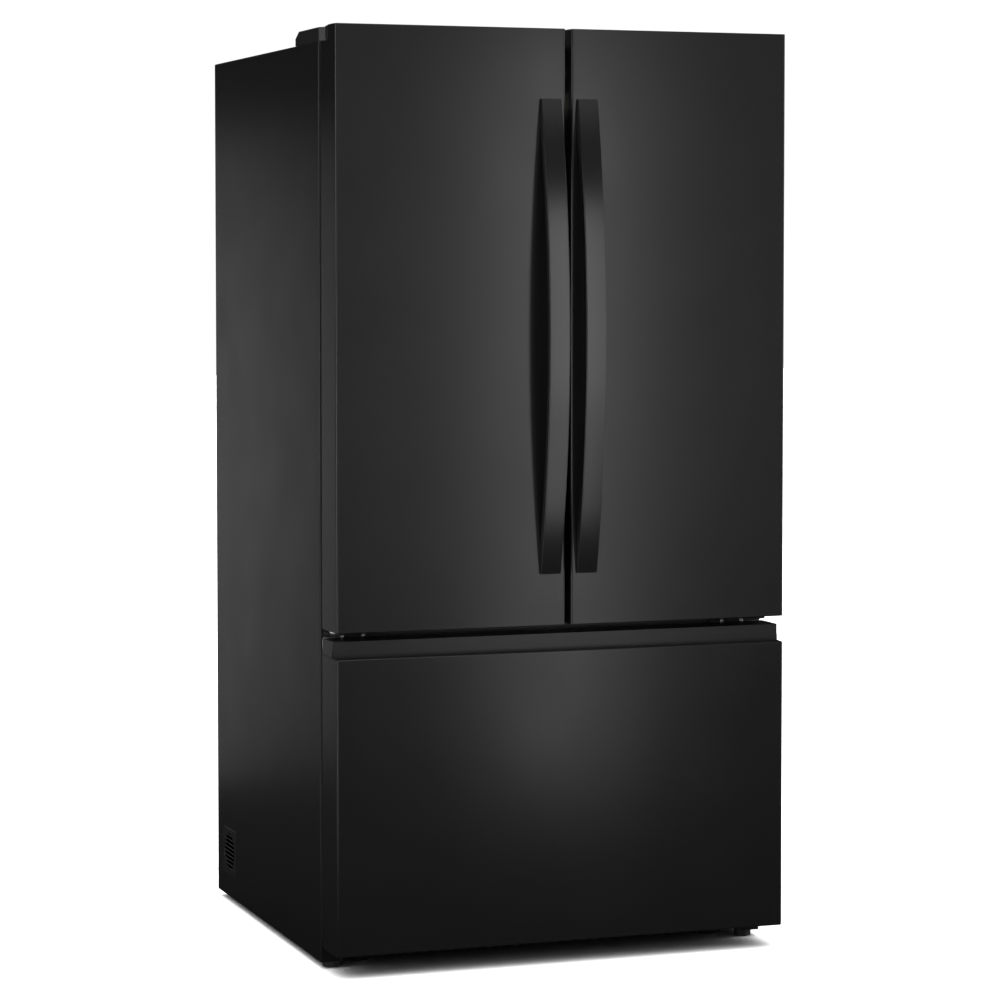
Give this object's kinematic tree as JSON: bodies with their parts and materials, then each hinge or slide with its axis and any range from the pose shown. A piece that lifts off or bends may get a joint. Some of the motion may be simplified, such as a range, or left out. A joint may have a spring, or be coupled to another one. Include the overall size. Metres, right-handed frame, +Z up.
{
  "type": "french door refrigerator",
  "caption": "Free-standing refrigerator with two hinged upper doors, bowed bar handles and a freezer drawer below, with shelves, bins, baskets and machine space.",
  "frame": {"origin": "on the floor, under the middle of the whole object's box, handles included", "axes": "+Z up, front towards -Y, +X to the right seen from the front"},
  "size_m": [0.908, 0.935, 1.781],
  "materials": {
    "black_painted_steel": "smooth semi-gloss enamel",
    "black_plastic": "satin moulded",
    "dark_grey_plastic": "fine moulded texture",
    "white_liner": "satin thermoformed",
    "foam": "cut foam",
    "clear_plastic": "clear moulded",
    "shelf_glass": "clear tempered glass",
    "grey_gasket": "soft matt vinyl",
    "zinc_steel": "zinc plated",
    "black_steel": "matt coat",
    "aluminium_fin": "mill finish",
    "galvanised_sheet": "galvanised"
  },
  "bodies": {
    "cabinet": {"cabinet_shell": "black_painted_steel", "cabinet_back_panel": "galvanised_sheet", "machine_cover": "black_steel", "cabinet_insulation": "foam", "fresh_food_liner": "white_liner", "freezer_liner": "white_liner", "center_rail": "black_painted_steel", "base_frame": "black_steel", "side_vent_grille": "black_plastic", "compressor": "black_steel", "condenser_coil": "black_steel", "condenser_fan_shroud": "dark_grey_plastic", "evaporator": "aluminium_fin", "evaporator_cover": "white_liner", "air_tower": "white_liner", "control_panel": "white_liner", "top_hinge_left": "zinc_steel", "top_hinge_right": "zinc_steel", "hinge_cover_left": "black_plastic", "hinge_cover_right": "black_plastic", "center_hinge_left": "zinc_steel", "center_hinge_right": "zinc_steel", "shelf_upper_left": "shelf_glass", "shelf_upper_right": "shelf_glass", "shelf_lower": "shelf_glass", "crisper_cover": "shelf_glass", "freezer_rail_left": "zinc_steel", "freezer_rail_right": "zinc_steel"},
    "left_door": {"left_door_skin": "black_painted_steel", "left_door_liner": "white_liner", "left_door_gasket": "grey_gasket", "left_handle": "black_painted_steel", "left_door_bin_lower": "clear_plastic", "left_door_bin_middle": "clear_plastic", "left_door_bin_upper": "clear_plastic"},
    "right_door": {"right_door_skin": "black_painted_steel", "right_door_liner": "white_liner", "right_door_gasket": "grey_gasket", "right_handle": "black_painted_steel", "right_door_bin_lower": "clear_plastic", "right_door_bin_middle": "clear_plastic", "right_door_bin_upper": "clear_plastic"},
    "mullion": {"flipper_mullion": "dark_grey_plastic"},
    "freezer_drawer": {"drawer_front": "black_painted_steel", "drawer_handle_rail": "black_plastic", "drawer_liner": "white_liner", "drawer_gasket": "grey_gasket", "drawer_frame": "zinc_steel", "drawer_basket": "white_liner"},
    "upper_basket": {"freezer_upper_basket": "white_liner"},
    "crisper_l": {"crisper_left": "clear_plastic"},
    "crisper_r": {"crisper_right": "clear_plastic"},
    "condenser_fan": {"condenser_fan_blade": "dark_grey_plastic"},
    "evaporator_fan": {"evaporator_fan_blade": "dark_grey_plastic"},
    "foot_l": {"leveling_foot_left": "dark_grey_plastic"},
    "foot_r": {"leveling_foot_right": "dark_grey_plastic"},
    "front_wheel_l": {"front_roller_left": "dark_grey_plastic"},
    "front_wheel_r": {"front_roller_right": "dark_grey_plastic"},
    "rear_wheel_l": {"rear_roller_left": "dark_grey_plastic"},
    "rear_wheel_r": {"rear_roller_right": "dark_grey_plastic"}
  },
  "joints": [
    {"name": "left_door_hinge", "type": "hinge", "parent": "cabinet", "child": "left_door", "pos_m": [-0.432, -0.3405, 1.2], "axis": [0, 0, -1], "range_deg": [0, 118]},
    {"name": "right_door_hinge", "type": "hinge", "parent": "cabinet", "child": "right_door", "pos_m": [0.432, -0.3405, 1.2], "axis": [0, 0, 1], "range_deg": [0, 118]},
    {"name": "mullion_fold", "type": "hinge", "parent": "left_door", "child": "mullion", "pos_m": [-0.044, -0.2905, 1.2], "axis": [0, 0, 1], "range_deg": [0, 90]},
    {"name": "freezer_drawer_slide", "type": "slide", "parent": "cabinet", "child": "freezer_drawer", "axis": [0, -1, 0], "range_m": [0, 0.4]},
    {"name": "upper_basket_slide", "type": "slide", "parent": "cabinet", "child": "upper_basket", "axis": [0, -1, 0], "range_m": [0, 0.24]},
    {"name": "crisper_left_slide", "type": "slide", "parent": "cabinet", "child": "crisper_l", "axis": [0, -1, 0], "range_m": [0, 0.045]},
    {"name": "crisper_right_slide", "type": "slide", "parent": "cabinet", "child": "crisper_r", "axis": [0, -1, 0], "range_m": [0, 0.045]},
    {"name": "condenser_fan_spin", "type": "hinge", "parent": "cabinet", "child": "condenser_fan", "pos_m": [-0.06, 0.3275, 0.185], "axis": [1, 0, 0], "continuous": true},
    {"name": "evaporator_fan_spin", "type": "hinge", "parent": "cabinet", "child": "evaporator_fan", "pos_m": [0, 0.3415, 0.525], "axis": [0, 1, 0], "continuous": true},
    {"name": "foot_left_turn", "type": "hinge", "parent": "cabinet", "child": "foot_l", "pos_m": [-0.427, -0.2815, 0.02], "axis": [0, 0, 1], "continuous": true},
    {"name": "foot_right_turn", "type": "hinge", "parent": "cabinet", "child": "foot_r", "pos_m": [0.427, -0.2815, 0.02], "axis": [0, 0, 1], "continuous": true},
    {"name": "front_roller_left_spin", "type": "hinge", "parent": "cabinet", "child": "front_wheel_l", "pos_m": [-0.362, -0.2575, 0.024], "axis": [1, 0, 0], "continuous": true},
    {"name": "front_roller_right_spin", "type": "hinge", "parent": "cabinet", "child": "front_wheel_r", "pos_m": [0.362, -0.2575, 0.024], "axis": [1, 0, 0], "continuous": true},
    {"name": "rear_roller_left_spin", "type": "hinge", "parent": "cabinet", "child": "rear_wheel_l", "pos_m": [-0.4, 0.4125, 0.0225], "axis": [1, 0, 0], "continuous": true},
    {"name": "rear_roller_right_spin", "type": "hinge", "parent": "cabinet", "child": "rear_wheel_r", "pos_m": [0.4, 0.4125, 0.0225], "axis": [1, 0, 0], "continuous": true}
  ],
  "couplings": [
    {"joint": "mullion_fold", "follows": "left_door_hinge", "ratio": 0.75},
    {"joint": "upper_basket_slide", "follows": "freezer_drawer_slide", "ratio": 0.6}
  ]
}
